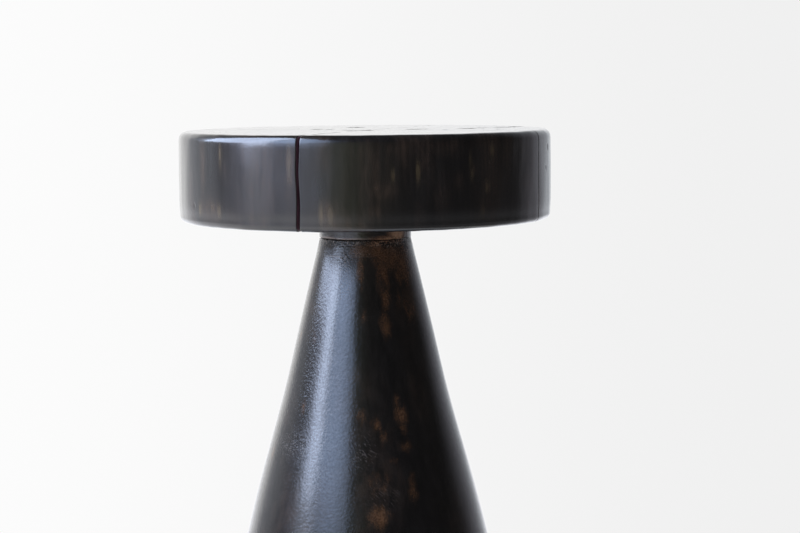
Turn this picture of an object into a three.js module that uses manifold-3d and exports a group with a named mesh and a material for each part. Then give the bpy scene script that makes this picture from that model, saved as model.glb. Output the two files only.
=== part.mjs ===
// A turned wooden stool in ebonised wood.
// The thick round seat is glued up from four quarter blocks with their end grain up. The blocks meet
// at two seams that cross a little off the seat's axis, and two dowels hold each arm of the seams.
// The pedestal flares from a narrow neck to a wide base, and its round tenon passes through a turned
// collar into a blind mortise in the seat. The base stands on four felt glides.
// Millimetres, +Z up. The origin is on the floor, on the stool's axis, and the front is towards -Y.

import * as THREE from 'three';
import { mergeVertices } from 'three/addons/utils/BufferGeometryUtils.js';
import Module from 'manifold-3d';

// Driving dimensions of the whole stool
const stoolHeight = 457.2;
const seatDiameter = 304.8;
const seatThickness = 73;
const neckDiameter = 75;
const baseDiameter = 258;

// The seat's rounded edges
const seatTopRound = 6.4;
const seatUndersideRound = 5;

// The seams between the seat's blocks. The front seam points seamTurn degrees round from -Y towards
// +X, and the others follow at right angles. The crossing is given along the seams' own directions.
const seamTurn = -22.65;
const crossingToRight = 8.6;
const crossingToFront = 8.6;
const glueGap = 0.3;
const rimGap = { front: 2.4, right: 0.7, back: 0.6, left: 0.5 };

// The dowels across the seams
const dowelDiameter = 10;
const dowelLength = 50;
const dowelChamfer = 1;
const dowelSideClearance = 0.3;
const dowelEndClearance = 1.5;
const dowelCoverAtRim = 24;
const dowelCoverAtMortise = 11;

// The pedestal's tenon and the seat's blind mortise
const tenonDiameter = 50.8;
const tenonReachIntoSeat = 45;
const tenonChamfer = 2;
const tenonSideClearance = 0.3;
const tenonEndClearance = 2;

// The collar at the top of the neck
const collarHeight = 15;
const collarChamfer = 0.6;

// The pedestal's flare is a cubic curve from neck to base. Its handles stand a third and two thirds
// of the way down, as shares of the way out from the neck to the base: a straight cone has 1/3 and 2/3.
const flareUpperHandle = 0.28;
const flareLowerHandle = 0.694;

// The pedestal's underside: a shallow turned recess inside a flat rim, with the lathe's centre mark
const baseEdgeRound = 4;
const baseRimWidth = 36;
const recessDepth = 5;
const centreMarkDiameter = 14;
const centreMarkDepth = 6;

// The felt glides under the base's rim
const glideDiameter = 25;
const glideThickness = 3;
const glideEdge = 0.5;
const glideTurn = 45;

// Facets round each turned form, and steps along each curve
const seatFacets = 96;
const pedestalFacets = 72;
const mortiseFacets = 48;
const smallFacets = 24;
const roundSteps = 5;
const flareSteps = 18;

// Vertices closer than this are one vertex
const mergeDistance = 1e-4;

// How far a cutting form runs past the face that it cuts
const cutMargin = 2;

// Sizes that follow from the ones above
const seatRadius = seatDiameter / 2;
const seatBottom = stoolHeight - seatThickness;
const collarTop = seatBottom - glueGap;
const collarBottom = collarTop - collarHeight;
const pedestalShoulder = collarBottom - glueGap;
const pedestalBottom = glideThickness + glueGap;
const neckRadius = neckDiameter / 2;
const baseRadius = baseDiameter / 2;
const recessRadius = baseRadius - baseRimWidth;
const tenonRadius = tenonDiameter / 2;
const mortiseRadius = tenonRadius + tenonSideClearance;
const mortiseDepth = tenonReachIntoSeat + tenonEndClearance;
const dowelHoleRadius = dowelDiameter / 2 + dowelSideClearance;
const dowelHoleLength = dowelLength + 2 * dowelEndClearance;

// The four seams in order, seen from above against the clock from the front. Each points from the
// crossing to the rim, in the seat's own turned frame.
const seams = [
  { name: 'front', direction: new THREE.Vector2(0, -1) },
  { name: 'right', direction: new THREE.Vector2(1, 0) },
  { name: 'back', direction: new THREE.Vector2(0, 1) },
  { name: 'left', direction: new THREE.Vector2(-1, 0) },
];
const crossing = new THREE.Vector2(crossingToRight, -crossingToFront);

const seatMaterial = new THREE.MeshStandardMaterial({ color: 0x231f1d, roughness: 0.32, metalness: 0 });
const pedestalMaterial = new THREE.MeshStandardMaterial({ color: 0x1f1b19, roughness: 0.3, metalness: 0 });
const dowelMaterial = new THREE.MeshStandardMaterial({ color: 0xb98f5f, roughness: 0.7, metalness: 0 });
const feltMaterial = new THREE.MeshStandardMaterial({ color: 0x3a3733, roughness: 1, metalness: 0 });

const wasm = await Module();
wasm.setup();

// A three.js geometry as a solid that can be joined and cut
function solidFrom(geometry) {
  const bare = geometry.clone();
  bare.deleteAttribute('normal');
  bare.deleteAttribute('uv');
  const merged = mergeVertices(bare, mergeDistance);
  return new wasm.Manifold(
    new wasm.Mesh({
      numProp: 3,
      vertProperties: merged.getAttribute('position').array,
      triVerts: new Uint32Array(merged.getIndex().array),
    }),
  );
}

// A solid as a three.js geometry with flat facets
function geometryFrom(solid) {
  const mesh = solid.getMesh();
  const indexed = new THREE.BufferGeometry();
  indexed.setAttribute('position', new THREE.BufferAttribute(mesh.vertProperties, mesh.numProp));
  indexed.setIndex(new THREE.BufferAttribute(mesh.triVerts, 1));
  const geometry = indexed.toNonIndexed();
  geometry.computeVertexNormals();
  return geometry;
}

function namedMesh(name, geometry, material) {
  const mesh = new THREE.Mesh(geometry, material);
  mesh.name = name;
  return mesh;
}

const point = (radius, height) => new THREE.Vector2(radius, height);

// The points of a quarter-round edge about a centre, against the clock from a starting angle
function quarterRound(centreRadius, centreHeight, size, startAngle) {
  const arc = new THREE.EllipseCurve(
    centreRadius,
    centreHeight,
    size,
    size,
    startAngle,
    startAngle + Math.PI / 2,
  );
  return arc.getPoints(roundSteps);
}

// A turned form from its outline, given as points of radius and height
function turned(outline, facets) {
  return new THREE.LatheGeometry(outline, facets).rotateX(Math.PI / 2);
}

// The whole seat before it is divided: a disc with a rounded rim, its underside at height zero
function seatDisc() {
  const outline = [
    point(0, 0),
    ...quarterRound(seatRadius - seatUndersideRound, seatUndersideRound, seatUndersideRound, -Math.PI / 2),
    ...quarterRound(seatRadius - seatTopRound, seatThickness - seatTopRound, seatTopRound, 0),
    point(0, seatThickness),
  ];
  return solidFrom(turned(outline, seatFacets));
}

// Half the width of a seam's gap, which opens steadily from the crossing to the rim
function halfGap(seam, distance) {
  return (glueGap + ((rimGap[seam.name] - glueGap) * distance) / seatRadius) / 2;
}

// The wedge of space that one block may fill, between a seam and the next one round
function blockSpace(seam, next) {
  const reach = seatDiameter;
  const along = seam.direction;
  const across = next.direction;
  const at = (distanceAlong, distanceAcross) =>
    crossing.clone().addScaledVector(along, distanceAlong).addScaledVector(across, distanceAcross);
  const outline = new THREE.Shape([
    at(halfGap(next, 0), halfGap(seam, 0)),
    at(reach, halfGap(seam, reach)),
    at(reach, reach),
    at(halfGap(next, reach), reach),
  ]);
  const depth = seatThickness + 2 * cutMargin;
  const space = new THREE.ExtrudeGeometry(outline, { depth, bevelEnabled: false });
  return solidFrom(space.translate(0, 0, -cutMargin));
}

// The blind mortise, from below the seat's underside up to its end
function mortise() {
  const height = mortiseDepth + cutMargin;
  const cylinder = new THREE.CylinderGeometry(mortiseRadius, mortiseRadius, height, mortiseFacets);
  cylinder.rotateX(Math.PI / 2);
  cylinder.translate(0, 0, mortiseDepth - height / 2);
  return solidFrom(cylinder);
}

// Where a seam's two dowels stand, at mid thickness on the seam's own line
function dowelPlaces(seam) {
  const distances = {
    inner: mortiseRadius + dowelCoverAtMortise + dowelLength / 2,
    outer: seatRadius - dowelCoverAtRim - dowelDiameter / 2,
  };
  const runsAlongX = seam.direction.x !== 0;
  return Object.entries(distances).map(([end, distance]) => {
    const x = runsAlongX ? seam.direction.x * distance : crossing.x;
    const y = runsAlongX ? crossing.y : seam.direction.y * distance;
    return {
      name: `dowel_${seam.name}_${end}`,
      position: new THREE.Vector3(x, y, seatThickness / 2),
      turn: runsAlongX ? 0 : Math.PI / 2,
    };
  });
}

function dowelHole(place) {
  const cylinder = new THREE.CylinderGeometry(
    dowelHoleRadius,
    dowelHoleRadius,
    dowelHoleLength,
    smallFacets,
  );
  cylinder.rotateZ(place.turn);
  cylinder.translate(place.position.x, place.position.y, place.position.z);
  return solidFrom(cylinder);
}

function dowel(place) {
  const radius = dowelDiameter / 2;
  const half = dowelLength / 2;
  const outline = [
    point(0, -half),
    point(radius - dowelChamfer, -half),
    point(radius, -half + dowelChamfer),
    point(radius, half - dowelChamfer),
    point(radius - dowelChamfer, half),
    point(0, half),
  ];
  const mesh = namedMesh(place.name, new THREE.LatheGeometry(outline, smallFacets), dowelMaterial);
  mesh.position.copy(place.position);
  mesh.rotation.z = place.turn;
  return mesh;
}

// The seat: four blocks and eight dowels, in a group turned to the seams' direction
function seat() {
  const group = new THREE.Group();
  group.position.z = seatBottom;
  group.rotation.z = THREE.MathUtils.degToRad(seamTurn);
  const disc = seatDisc();
  const socket = mortise();
  seams.forEach((seam, index) => {
    const next = seams[(index + 1) % seams.length];
    let block = disc.intersect(blockSpace(seam, next)).subtract(socket);
    for (const place of [...dowelPlaces(seam), ...dowelPlaces(next)]) {
      block = block.subtract(dowelHole(place));
    }
    group.add(namedMesh(`seat_block_${seam.name}`, geometryFrom(block), seatMaterial));
    group.add(...dowelPlaces(seam).map(dowel));
  });
  return group;
}

// The collar: a ring with broken edges, which the tenon passes through
function collar() {
  const inner = mortiseRadius;
  const outline = [
    point(inner, collarBottom),
    point(neckRadius - collarChamfer, collarBottom),
    point(neckRadius, collarBottom + collarChamfer),
    point(neckRadius, collarTop - collarChamfer),
    point(neckRadius - collarChamfer, collarTop),
    point(inner, collarTop),
    point(inner, collarBottom),
  ];
  return namedMesh('neck_collar', turned(outline, pedestalFacets), pedestalMaterial);
}

// The flare's outline from the top of the base's rounded edge up to the shoulder
function flareOutline() {
  const height = pedestalShoulder - pedestalBottom;
  const spread = baseRadius - neckRadius;
  const curve = new THREE.CubicBezierCurve(
    point(baseRadius, pedestalBottom),
    point(neckRadius + spread * flareLowerHandle, pedestalBottom + height / 3),
    point(neckRadius + spread * flareUpperHandle, pedestalBottom + (height * 2) / 3),
    point(neckRadius, pedestalShoulder),
  );
  const start = baseEdgeRound / height;
  return Array.from({ length: flareSteps + 1 }, (_, step) =>
    curve.getPoint(start + ((1 - start) * step) / flareSteps),
  );
}

// The pedestal: recessed underside, rounded foot, flare, shoulder and tenon in one turning
function pedestal() {
  const recessTop = pedestalBottom + recessDepth;
  const flare = flareOutline();
  const footEdge = new THREE.QuadraticBezierCurve(
    point(baseRadius - baseEdgeRound, pedestalBottom),
    point(baseRadius, pedestalBottom),
    flare[0],
  );
  const tenonTop = seatBottom + tenonReachIntoSeat;
  const outline = [
    point(0, recessTop + centreMarkDepth),
    point(centreMarkDiameter / 2, recessTop),
    point(recessRadius, recessTop),
    point(recessRadius, pedestalBottom),
    ...footEdge.getPoints(roundSteps),
    ...flare.slice(1),
    point(tenonRadius, pedestalShoulder),
    point(tenonRadius, tenonTop - tenonChamfer),
    point(tenonRadius - tenonChamfer, tenonTop),
    point(0, tenonTop),
  ];
  return namedMesh('pedestal', turned(outline, pedestalFacets), pedestalMaterial);
}

// Four felt discs, midway across the flat of the base's rim
function glides() {
  const group = new THREE.Group();
  group.rotation.z = THREE.MathUtils.degToRad(glideTurn);
  const ringRadius = (baseRadius - baseEdgeRound + recessRadius) / 2;
  const radius = glideDiameter / 2;
  const outline = [
    point(0, 0),
    point(radius - glideEdge, 0),
    point(radius, glideEdge),
    point(radius, glideThickness),
    point(0, glideThickness),
  ];
  for (const { name, direction } of seams) {
    const glide = namedMesh(`glide_${name}`, turned(outline, smallFacets), feltMaterial);
    glide.position.set(direction.x * ringRadius, direction.y * ringRadius, 0);
    group.add(glide);
  }
  return group;
}

const stool = new THREE.Group();
stool.add(seat(), collar(), pedestal(), glides());

export default stool;
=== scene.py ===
# The looks of a turned wooden stool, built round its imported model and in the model's own frame.
# Ebonised seat blocks, collar and pedestal, fluted dowels and felt glides are modelled as fine meshes.
# Metres, +Z up, the front towards -Y. Azimuth 0 is the front and grows towards the right.

import math

import bmesh
import bpy
import numpy as np
from mathutils import Matrix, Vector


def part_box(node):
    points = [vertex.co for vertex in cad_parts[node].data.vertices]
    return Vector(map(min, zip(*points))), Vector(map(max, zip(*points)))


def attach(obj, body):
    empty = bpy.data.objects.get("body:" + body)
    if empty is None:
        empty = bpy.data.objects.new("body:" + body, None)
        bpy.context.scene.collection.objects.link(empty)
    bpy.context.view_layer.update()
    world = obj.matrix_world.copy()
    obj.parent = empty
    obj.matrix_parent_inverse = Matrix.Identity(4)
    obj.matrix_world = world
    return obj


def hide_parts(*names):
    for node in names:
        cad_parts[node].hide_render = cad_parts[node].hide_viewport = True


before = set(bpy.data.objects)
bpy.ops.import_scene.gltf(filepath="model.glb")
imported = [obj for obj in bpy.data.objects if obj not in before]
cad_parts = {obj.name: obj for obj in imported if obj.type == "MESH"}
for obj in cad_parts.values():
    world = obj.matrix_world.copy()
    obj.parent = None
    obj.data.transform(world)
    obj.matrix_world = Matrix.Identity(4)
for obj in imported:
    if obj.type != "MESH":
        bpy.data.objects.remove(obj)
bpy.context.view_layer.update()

MM = 0.001

# The camera, fitted to the photograph's view, with its angles in radians
CAMERA_PLACE = (0.0, -1.55505, 0.50026)
CAMERA_PITCH = 0.1003
CAMERA_YAW = 0.018
CAMERA_ROLL = -0.0087
CAMERA_LENS = 85.0
CAMERA_SENSOR = 36.0

# The seams in order from the front towards the right, as on the model
SIDES = ("front", "right", "back", "left")
ENDS = ("inner", "outer")


def round_size(*nodes):
    """The radius, bottom and top of what some nodes of the model make together."""
    boxes = np.array([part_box(node) for node in nodes])
    low, high = boxes[:, 0].min(axis=0), boxes[:, 1].max(axis=0)
    return (high[0] - low[0]) / 2, low[2], high[2]


SEAT_RADIUS, SEAT_BOTTOM, SEAT_TOP = round_size(*[f"seat_block_{side}" for side in SIDES])
NECK_RADIUS, COLLAR_BOTTOM, COLLAR_TOP = round_size("neck_collar")
BASE_RADIUS, BASE_BOTTOM, TENON_TOP = round_size("pedestal")

# Sizes that the model's source gives by name, with the gaps at the rim in the order of the sides
SEAT_TOP_ROUND = 6.4 * MM
SEAT_UNDERSIDE_ROUND = 5 * MM
SEAM_TURN = math.radians(-22.65)
CROSSING_TO_RIGHT = 8.6 * MM
CROSSING_TO_FRONT = 8.6 * MM
GLUE_GAP = 0.3 * MM
RIM_GAPS = np.array([2.4, 0.7, 0.6, 0.5]) * MM
TENON_RADIUS = 25.4 * MM
TENON_CHAMFER = 2 * MM
TENON_CLEARANCE = 0.3 * MM
TENON_END_CLEARANCE = 2 * MM
COLLAR_CHAMFER = 0.6 * MM
FLARE_UPPER_HANDLE = 0.28
FLARE_LOWER_HANDLE = 0.694
BASE_EDGE_ROUND = 4 * MM
BASE_RIM_WIDTH = 36 * MM
RECESS_DEPTH = 5 * MM
CENTRE_MARK_RADIUS = 7 * MM
CENTRE_MARK_DEPTH = 6 * MM
DOWEL_SIDE_CLEARANCE = 0.3 * MM
DOWEL_END_CLEARANCE = 1.5 * MM

# Sizes that follow
SHOULDER = COLLAR_BOTTOM - GLUE_GAP
MORTISE_RADIUS = TENON_RADIUS + TENON_CLEARANCE
MORTISE_TOP = TENON_TOP + TENON_END_CLEARANCE
RECESS_RADIUS = BASE_RADIUS - BASE_RIM_WIDTH
QUARTER = math.pi / 2

# How near a seam's plane its faces lie, and how squarely they face it, as a cosine
SEAM_REACH = 1.5 * MM
SQUARE_ON = 0.97

# How finely the meshes are made
SEAT_STEP = 1.5 * MM
UNDERSIDE_STEP = 3 * MM
ARRIS_STEPS = np.array([0, 0.08, 0.2, 0.4, 0.65, 1.0, 1.5, 2.3]) * MM
ROUND_ROWS = 12
MORTISE_ROWS = 6
TURNED_COLUMNS = 256
BORE_COLUMNS = 48
FLARE_STEP = 1.7 * MM
NECK_STEP = 0.35 * MM
SMOOTH_BELOW = math.radians(35)

# How many waves a ripple has, and how far their lengths differ from the one asked for
WAVES = 14
WAVE_SPREAD = (0.7, 1.5)

# Seeds of the random draws
SEED_UNDULATION = 11
SEED_PITS = 23
SEED_CHATTER = 31
SEED_STREAKS = 47
SEED_BLOTCHES = 59
SEED_FELT = 61
SEED_STAINS = 67


def ripples(points, wavelength, seed):
    """Smooth random waves of about one length, mostly between -1 and 1, at each point."""
    draw = np.random.default_rng(seed)
    directions = draw.normal(size=(WAVES, 3))
    directions /= np.linalg.norm(directions, axis=1, keepdims=True)
    lengths = wavelength * draw.uniform(*WAVE_SPREAD, WAVES)
    phases = draw.uniform(0, math.tau, WAVES)
    turns = points @ (math.tau * directions / lengths[:, None]).T + phases
    return np.sin(turns).sum(axis=-1) / math.sqrt(WAVES)


def uneven(points, depth, wavelength, seed):
    """A depth that varies smoothly between nothing and twice the given one."""
    return depth * (1 + ripples(points, wavelength, seed).clip(-1, 1))


def smooth(values, low, high):
    """0 below low, 1 above high and a smooth step between."""
    share = np.clip((values - low) / (high - low), 0, 1)
    return share * share * (3 - 2 * share)


def strewn(seed, count, *ranges):
    """Rows of numbers drawn by chance, each within its range."""
    draw = np.random.default_rng(seed)
    return [[draw.uniform(low, high) for low, high in ranges] for _ in range(count)]


def azimuth_of(points):
    return np.arctan2(points[..., 0], -points[..., 1])


def from_axis(points):
    """How far points lie from the Z axis."""
    return np.linalg.norm(points[..., :2], axis=-1)


def direction(azimuth):
    """The level unit vector that points to an azimuth."""
    return np.stack([np.sin(azimuth), -np.cos(azimuth)], axis=-1)


def skin(name, grid, wraps=True, poles=True):
    """A closed mesh over rows of points. With poles, the first and last rows are each one point;
    without, the last row joins the first. Columns run right round or end in two flat caps."""
    rows, columns = grid.shape[:2]
    here = np.arange(columns if wraps else columns - 1)
    beside = (here + 1) % columns
    if poles:
        points = np.vstack([grid[0, :1], grid[1:-1].reshape(-1, 3), grid[-1, :1]])
        starts = 1 + columns * np.arange(rows - 2)
        pairs = list(zip(starts[:-1], starts[1:]))
    else:
        points = grid.reshape(-1, 3)
        starts = columns * np.arange(rows)
        pairs = list(zip(starts, np.roll(starts, -1)))
    faces = []
    for upper, lower in pairs:
        faces += np.stack([upper + here, lower + here, lower + beside, upper + beside], axis=1).tolist()
    if poles:
        last = len(points) - 1
        faces += [[0, starts[0] + a, starts[0] + b] for a, b in zip(here, beside)]
        faces += [[last, starts[-1] + b, starts[-1] + a] for a, b in zip(here, beside)]
        if not wraps:
            faces.append([0, *starts, last])
            faces.append([last, *(starts[::-1] + columns - 1), 0])
    mesh = bpy.data.meshes.new(name)
    mesh.from_pydata(points.tolist(), [], [[int(i) for i in face] for face in faces])
    turn_outwards(mesh)
    return mesh


def turn_outwards(mesh):
    work = bmesh.new()
    work.from_mesh(mesh)
    bmesh.ops.recalc_face_normals(work, faces=work.faces)
    work.to_mesh(mesh)
    work.free()


def points_of(mesh):
    flat = np.empty(len(mesh.vertices) * 3)
    mesh.vertices.foreach_get("co", flat)
    return flat.reshape(-1, 3)


def mark(mesh, name, values, domain="POINT"):
    """Stores one number for each vertex, or for each face, which the material reads by name."""
    layer = mesh.attributes.new(name, "FLOAT", domain)
    layer.data.foreach_set("value", np.ascontiguousarray(values, dtype=np.float32))


def placed(name, data):
    """A new object in the scene."""
    thing = bpy.data.objects.new(name, data)
    bpy.context.scene.collection.objects.link(thing)
    return thing


def finished(name, mesh, node, material):
    """A piece that stands for one node of the model, smooth except at its sharp edges."""
    mesh.shade_smooth()
    mesh.set_sharp_from_angle(angle=SMOOTH_BELOW)
    mesh.materials.clear()
    mesh.materials.append(material)
    piece = placed(name, mesh)
    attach(piece, "root")
    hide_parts(node)


# The seat blocks

# The seams' level directions from where they cross, and the crossing
SEAM_DIRECTIONS = direction(SEAM_TURN + QUARTER * np.arange(len(SIDES)))
CROSSING = CROSSING_TO_FRONT * SEAM_DIRECTIONS[0] + CROSSING_TO_RIGHT * SEAM_DIRECTIONS[1]

# Broken arrises where the blocks meet, in the order of the sides
ARRIS = np.array([0.9, 0.35, 0.35, 0.3]) * MM

# The seams wander down the rim and close somewhat in the middle, the front one most
WANDER = np.array([0.4, 0.3, 0.5, 0.4]) * MM
WANDER_LENGTH = np.array([46, 90, 60, 75]) * MM
WANDER_START = 27 * MM
WANDER_ACROSS = 12 * MM
WANDER_INWARDS = 30 * MM
CLOSING = np.array([0.28, 0.06, 0.05, 0.05]) * MM
CLOSING_DEPTH = 35 * MM
CLOSING_REACH = 16 * MM

# Hand sanding leaves the faces slightly uneven, always inwards of the model's
SANDING_DEPTH = 0.1 * MM
SANDING_LENGTH = 45 * MM
STROKE_DEPTH = 0.05 * MM
STROKE_LENGTH = 13 * MM
STROKE_SHAPE = np.array([1, 1, 0.2])

# It has also eased the rounded edges of the top and the underside into the rim
EASING_DEPTH = 0.13 * MM
EASING_PEAK = 1 * MM
EASING_REACH = 2.2 * MM
LOWER_EASING_DEPTH = 0.5 * MM
LOWER_EASING_REACH = 6 * MM

# How much the pits' outlines waver and over what length, and how far the pits in the top and in the
# rim reach, in half sizes, and over how many they deepen
PIT_WOBBLE = 0.3
PIT_WOBBLE_LENGTH = 4 * MM
TOP_PIT_REACH = 1.15
TOP_PIT_SLOPE = 0.45
RIM_PIT_REACH = 1.2
RIM_PIT_SLOPE = 0.8

# Pits and short checks in the top: x, y, length along x, width and depth, in millimetres
TOP_PITS = (
    (-40, 25, 9, 7, 1.4), (-29, 12, 4, 6, 1.6), (-13, -19, 15, 7, 1.3), (-8, 67, 14, 9, 1.4),
    (1, -27, 11, 7, 1.4), (41, -2, 13, 8, 1.6), (65, -25, 4, 6, 1.8), (86, 7, 14, 9, 1.6),
    (100, 40, 8, 8, 1.4), (114, 35, 20, 8, 1.8), (109, -19, 4, 5, 1.6), (128, 52, 9, 8, 1.4),
)

# Small pits in the rim: azimuth in degrees, height, half width, half length and depth in millimetres
RIM_PITS = (
    (74.4, 443, 0.9, 3.2, 0.7), (71.4, 427, 0.7, 2.2, 0.5), (-62, 401, 0.8, 1.8, 0.4),
    (128, 431, 1.0, 3.0, 0.6), (196, 409, 0.8, 2.4, 0.5), (259, 438, 0.9, 3.4, 0.6),
)

# Pale streaks where the stain has worn off the rim. Each patch here and in the tables further on has
# its azimuth in degrees, its height, half width and half length in millimetres, and its strength.
# Where the photograph doesn't show the rim, patches are strewn by chance.
RIM_STREAKS = (
    (15.0, 429, 1.1, 6.5, 0.9), (7.8, 427, 1.1, 4.5, 0.5), (31.6, 437, 0.9, 6, 0.45),
    (32.0, 427, 1.2, 5, 0.55), (39.4, 444, 2.0, 4.5, 0.45), (37.4, 416, 2.2, 4.5, 0.4),
    (36.0, 398, 2.0, 5, 0.25), (-12.6, 398, 1.3, 7, 0.6), (-10.0, 397, 1.5, 6, 0.6),
    (-58.0, 398, 2.4, 5, 0.5), (-51.0, 401, 1.8, 4, 0.25), (-47.7, 398, 2.0, 5, 0.5),
    (-46.8, 441, 1.4, 9, 0.6), (-22.0, 437, 1.3, 13, 0.5),
    *strewn(SEED_STREAKS, 26, (85, 290), (392, 450), (1, 2.4), (4, 10), (0.3, 0.8)),
)

# Broad brown places where the black stain is thin
RIM_STAINS = (
    (-54, 397, 16, 10, 1.0), (-56, 432, 4, 24, 0.8), (-46, 438, 4, 14, 0.8), (-31, 437, 3, 10, 0.6),
    (-22, 430, 4, 26, 0.8), (-11, 398, 7, 10, 0.8), (18, 447, 45, 6, 0.45), (54, 442, 14, 12, 0.4),
    (0, 428, 20, 30, 0.45), (4, 416, 13, 7, 0.75), (2, 399, 8, 8, 0.5), (12, 432, 10, 20, 0.25),
    (27, 449, 7, 5, 0.45), (28, 420, 4, 6, 0.55), (33, 430, 6, 7, 0.5), (38, 416, 7, 10, 0.5),
    (36, 399, 4, 7, 0.45), (22, 412, 7, 14, 0.25), (45, 430, 5, 20, 0.25),
    *strewn(SEED_STAINS, 16, (60, 290), (395, 445), (4, 16), (14, 34), (0.3, 0.7)),
)


def after(seam):
    """The seam that follows towards the right."""
    return (seam + 1) % len(SIDES)


def half_gap(seam, distance):
    """Half the width of a seam's gap, which opens steadily from the crossing to the rim."""
    return (GLUE_GAP + (RIM_GAPS[seam] - GLUE_GAP) * distance / SEAT_RADIUS) / 2


def to_circle(start, toward, radius):
    """Where the lines from start through the points of toward meet a circle about the axis."""
    step = toward - start
    step = step / np.linalg.norm(step, axis=-1, keepdims=True)
    along = step @ start
    return start + (np.sqrt(along**2 - start @ start + radius**2) - along)[..., None] * step


def rim_columns(length):
    """Distances along a block's rim, close together beside the seams."""
    *near, last = ARRIS_STEPS
    middle = np.linspace(last, length - last, round((length - 2 * last) / SEAT_STEP))
    return np.concatenate([near, middle, length - np.array(near[::-1])])


def rounded_rows(corner, rim, size, middle, turns):
    """The rows of a rounded edge of the seat, whose curve has its middle at a height."""
    rows = []
    for turn in turns:
        plan = to_circle(corner, rim, SEAT_RADIUS - size * (1 - math.cos(turn)))
        rows.append((plan, middle + size * math.sin(turn), turn))
    return rows


def block_rows(corner, rim):
    """A block's rows from the inner corner of its top over the rim to the mortise: the points in plan,
    the height and the slope, a quarter turn on the top. Gives the mortise's mouth as well."""
    top_edge = to_circle(corner, rim, SEAT_RADIUS - SEAT_TOP_ROUND)
    shares = np.linspace(0, 1, round(SEAT_RADIUS / SEAT_STEP), endpoint=False)
    rows = [(corner + share * (top_edge - corner), SEAT_TOP, QUARTER) for share in shares]
    wall_top = SEAT_TOP - SEAT_TOP_ROUND
    wall_bottom = SEAT_BOTTOM + SEAT_UNDERSIDE_ROUND
    turns = np.linspace(QUARTER, 0, ROUND_ROWS)
    rows += rounded_rows(corner, rim, SEAT_TOP_ROUND, wall_top, turns)
    heights = np.linspace(wall_top, wall_bottom, round((wall_top - wall_bottom) / SEAT_STEP))
    rows += [(rim, height, 0.0) for height in heights[1:-1]]
    rows += rounded_rows(corner, rim, SEAT_UNDERSIDE_ROUND, wall_bottom, -turns[::-1])
    edge = rows[-1][0]
    mouth = to_circle(corner, rim, MORTISE_RADIUS)
    span = SEAT_RADIUS - SEAT_UNDERSIDE_ROUND - MORTISE_RADIUS
    shares = np.linspace(0, 1, round(span / UNDERSIDE_STEP))[1:]
    rows += [(edge + share * (mouth - edge), SEAT_BOTTOM, -QUARTER) for share in shares]
    return rows, mouth


def seam_distance(plan, index, own):
    """How far points lie inside a block from the face of its own seam, or of the one after."""
    from_crossing = plan - CROSSING
    along = from_crossing @ SEAM_DIRECTIONS[index]
    across = from_crossing @ SEAM_DIRECTIONS[after(index)]
    return across - half_gap(index, along) if own else along - half_gap(after(index), across)


def broken_arris(distance, size):
    """The depth of a rounded arris at a distance from the seam face."""
    inside = np.clip(size - distance, 0, size)
    return size - np.sqrt(size**2 - inside**2)


def easing(height):
    """The depth that sanding has taken off where the rounded edges meet the rim."""
    below = (SEAT_TOP - SEAT_TOP_ROUND + EASING_PEAK - height) / EASING_REACH
    above = (height - SEAT_BOTTOM - SEAT_UNDERSIDE_ROUND) / LOWER_EASING_REACH
    return EASING_DEPTH * np.exp(-(below**2)) + LOWER_EASING_DEPTH * np.exp(-(above**2))


def from_oval(azimuth, height, place, radius):
    """How far points on a round face lie from the middle of an oval, with 1 at its edge."""
    degrees, middle, half_width, half_length = place
    turn = np.angle(np.exp(1j * (azimuth - math.radians(degrees))))
    return np.hypot(turn * radius / (half_width * MM), (height - middle * MM) / (half_length * MM))


def pit_depth(points):
    """The depth of the pits and checks in the seat at each point."""
    depth = np.zeros(len(points))
    wobble = 1 + PIT_WOBBLE * ripples(points, PIT_WOBBLE_LENGTH, SEED_PITS)
    on_top = points[:, 2] > SEAT_TOP - SEAT_TOP_ROUND
    for x, y, length, width, deep in TOP_PITS:
        along = (points[:, 0] - x * MM) / (length / 2 * MM)
        away = np.hypot(along, (points[:, 1] - y * MM) / (width / 2 * MM))
        share = smooth(TOP_PIT_REACH - away * wobble, 0, TOP_PIT_SLOPE) * on_top
        depth = np.maximum(depth, deep * MM * share)
    azimuth = azimuth_of(points)
    for *place, deep in RIM_PITS:
        away = from_oval(azimuth, points[:, 2], place, SEAT_RADIUS)
        share = smooth(RIM_PIT_REACH - away * wobble, 0, RIM_PIT_SLOPE) * ~on_top
        depth = np.maximum(depth, deep * MM * share)
    return depth


def seam_shift(grid, index):
    """How far the points move along the rim towards the seam after, so that the seams wander."""
    down = SEAT_TOP - grid[..., 2]
    inwards = SEAT_RADIUS - from_axis(grid)
    near_rim = 1 - smooth(inwards, 0, WANDER_INWARDS)
    closing = np.exp(-(((down - CLOSING_DEPTH) / CLOSING_REACH) ** 2))
    shift = np.zeros(grid.shape[:2])
    for seam, own, sign in ((index, True, -1), (after(index), False, 1)):
        wander = -WANDER[seam] * np.cos(math.tau * (down - WANDER_START) / WANDER_LENGTH[seam])
        near_seam = 1 - smooth(seam_distance(grid[..., :2], index, own), 0, WANDER_ACROSS)
        shift += (wander + sign * CLOSING[seam] * closing) * near_seam * near_rim
    return shift


def block_plan(index):
    """The inner corner of a block's top, and the points along its rim in plan."""
    along, across = SEAM_DIRECTIONS[index], SEAM_DIRECTIONS[after(index)]
    far = 2 * SEAT_RADIUS
    corner = CROSSING + half_gap(after(index), 0) * along + half_gap(index, 0) * across
    first = to_circle(corner, CROSSING + far * along + half_gap(index, far) * across, SEAT_RADIUS)
    last = to_circle(corner, CROSSING + half_gap(after(index), far) * along + far * across, SEAT_RADIUS)
    start = azimuth_of(first)
    turn = (azimuth_of(last) - start) % math.tau
    return corner, SEAT_RADIUS * direction(start + rim_columns(turn * SEAT_RADIUS) / SEAT_RADIUS)


def at_height(plan, height):
    return np.column_stack([plan, np.full(len(plan), height)])


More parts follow.
